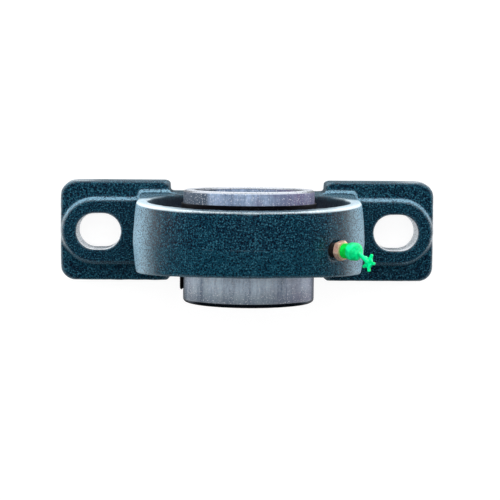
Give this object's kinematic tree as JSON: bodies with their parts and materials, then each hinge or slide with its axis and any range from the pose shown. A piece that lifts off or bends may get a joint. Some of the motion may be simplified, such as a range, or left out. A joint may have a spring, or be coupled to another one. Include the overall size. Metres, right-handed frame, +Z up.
{
  "type": "pillow block bearing",
  "caption": "Foot-mounted cast housing with a self-aligning ball bearing insert that carries a 75 mm shaft, held by set screws.",
  "frame": {"origin": "on the base plane, straight below the middle of the ball seat", "axes": "+X along the base from foot to foot, towards the grease nipple's side, +Y along the shaft away from the set screws, +Z up"},
  "size_m": [0.275, 0.0815, 0.163],
  "materials": {
    "cast_housing": "dark teal paint over a sand-cast skin",
    "bearing_steel": "ground bearing steel",
    "ball_steel": "polished bearing steel",
    "pressed_steel": "bright pressed steel strip",
    "slinger_steel": "blackened pressed steel, bright along its edges",
    "seal_rubber": "matt nitrile rubber",
    "black_oxide": "black oxide",
    "nipple_brass": "copper-coloured plating",
    "green_cap": "soft moulded plastic"
  },
  "bodies": {
    "base": {"housing": "cast_housing", "grease_nipple": "nipple_brass", "nipple_spring": "pressed_steel"},
    "insert": {"outer_ring": "bearing_steel", "seal_front": "seal_rubber", "seal_back": "seal_rubber", "seal_insert_front": "pressed_steel", "seal_insert_back": "pressed_steel"},
    "inner": {"inner_ring": "bearing_steel", "slinger_front": "slinger_steel", "slinger_back": "slinger_steel"},
    "cage": {"cage_half_front": "pressed_steel", "cage_half_back": "pressed_steel", "cage_rivets": "pressed_steel"},
    "ball_01_body": {"ball_01": "ball_steel"},
    "ball_02_body": {"ball_02": "ball_steel"},
    "ball_03_body": {"ball_03": "ball_steel"},
    "ball_04_body": {"ball_04": "ball_steel"},
    "ball_05_body": {"ball_05": "ball_steel"},
    "ball_06_body": {"ball_06": "ball_steel"},
    "ball_07_body": {"ball_07": "ball_steel"},
    "ball_08_body": {"ball_08": "ball_steel"},
    "ball_09_body": {"ball_09": "ball_steel"},
    "ball_10_body": {"ball_10": "ball_steel"},
    "ball_11_body": {"ball_11": "ball_steel"},
    "set_screw_1_body": {"set_screw_1": "black_oxide"},
    "set_screw_2_body": {"set_screw_2": "black_oxide"},
    "check_ball": {"nipple_check_ball": "ball_steel"},
    "cap": {"dust_cap": "green_cap"}
  },
  "joints": [
    {"name": "insert_align", "type": "hinge", "parent": "base", "child": "insert", "pos_m": [0, 0, 0.0826], "axis": [1, 0, 0], "range_deg": [-2, 2]},
    {"name": "shaft_turn", "type": "hinge", "parent": "insert", "child": "inner", "pos_m": [0, 0, 0.0826], "axis": [0, 1, 0], "continuous": true},
    {"name": "cage_turn", "type": "hinge", "parent": "insert", "child": "cage", "pos_m": [0, 0, 0.0826], "axis": [0, 1, 0], "continuous": true},
    {"name": "ball_01_spin", "type": "hinge", "parent": "cage", "child": "ball_01_body", "pos_m": [0, 0, 0.13385], "axis": [0, 1, 0], "continuous": true},
    {"name": "ball_02_spin", "type": "hinge", "parent": "cage", "child": "ball_02_body", "pos_m": [-0.02771, 0, 0.12571], "axis": [0, 1, 0], "continuous": true},
    {"name": "ball_03_spin", "type": "hinge", "parent": "cage", "child": "ball_03_body", "pos_m": [-0.04662, 0, 0.10389], "axis": [0, 1, 0], "continuous": true},
    {"name": "ball_04_spin", "type": "hinge", "parent": "cage", "child": "ball_04_body", "pos_m": [-0.05073, 0, 0.07531], "axis": [0, 1, 0], "continuous": true},
    {"name": "ball_05_spin", "type": "hinge", "parent": "cage", "child": "ball_05_body", "pos_m": [-0.03873, 0, 0.04904], "axis": [0, 1, 0], "continuous": true},
    {"name": "ball_06_spin", "type": "hinge", "parent": "cage", "child": "ball_06_body", "pos_m": [-0.01444, 0, 0.03343], "axis": [0, 1, 0], "continuous": true},
    {"name": "ball_07_spin", "type": "hinge", "parent": "cage", "child": "ball_07_body", "pos_m": [0.01444, 0, 0.03343], "axis": [0, 1, 0], "continuous": true},
    {"name": "ball_08_spin", "type": "hinge", "parent": "cage", "child": "ball_08_body", "pos_m": [0.03873, 0, 0.04904], "axis": [0, 1, 0], "continuous": true},
    {"name": "ball_09_spin", "type": "hinge", "parent": "cage", "child": "ball_09_body", "pos_m": [0.05073, 0, 0.07531], "axis": [0, 1, 0], "continuous": true},
    {"name": "ball_10_spin", "type": "hinge", "parent": "cage", "child": "ball_10_body", "pos_m": [0.04662, 0, 0.10389], "axis": [0, 1, 0], "continuous": true},
    {"name": "ball_11_spin", "type": "hinge", "parent": "cage", "child": "ball_11_body", "pos_m": [0.02771, 0, 0.12571], "axis": [0, 1, 0], "continuous": true},
    {"name": "set_screw_1_travel", "type": "slide", "parent": "inner", "child": "set_screw_1_body", "axis": [-1, 0, 0], "range_m": [-0.001, 0.0078]},
    {"name": "set_screw_2_travel", "type": "slide", "parent": "inner", "child": "set_screw_2_body", "axis": [0.5, 0, -0.866], "range_m": [-0.001, 0.0078]},
    {"name": "check_ball_travel", "type": "slide", "parent": "base", "child": "check_ball", "axis": [-0.7071, 0, -0.7071], "range_m": [0, 0.001], "stiffness_N_per_m": 300, "springref_m": -0.001, "deforming": ["nipple_spring"]},
    {"name": "cap_pull", "type": "slide", "parent": "base", "child": "cap", "axis": [0.7071, 0, 0.7071], "range_m": [0, 0.015]}
  ],
  "couplings": [
    {"joint": "cage_turn", "follows": "shaft_turn", "ratio": 0.41482},
    {"joint": "ball_01_spin", "follows": "shaft_turn", "ratio": -2.8498},
    {"joint": "ball_02_spin", "follows": "shaft_turn", "ratio": -2.8498},
    {"joint": "ball_03_spin", "follows": "shaft_turn", "ratio": -2.8498},
    {"joint": "ball_04_spin", "follows": "shaft_turn", "ratio": -2.8498},
    {"joint": "ball_05_spin", "follows": "shaft_turn", "ratio": -2.8498},
    {"joint": "ball_06_spin", "follows": "shaft_turn", "ratio": -2.8498},
    {"joint": "ball_07_spin", "follows": "shaft_turn", "ratio": -2.8498},
    {"joint": "ball_08_spin", "follows": "shaft_turn", "ratio": -2.8498},
    {"joint": "ball_09_spin", "follows": "shaft_turn", "ratio": -2.8498},
    {"joint": "ball_10_spin", "follows": "shaft_turn", "ratio": -2.8498},
    {"joint": "ball_11_spin", "follows": "shaft_turn", "ratio": -2.8498}
  ]
}
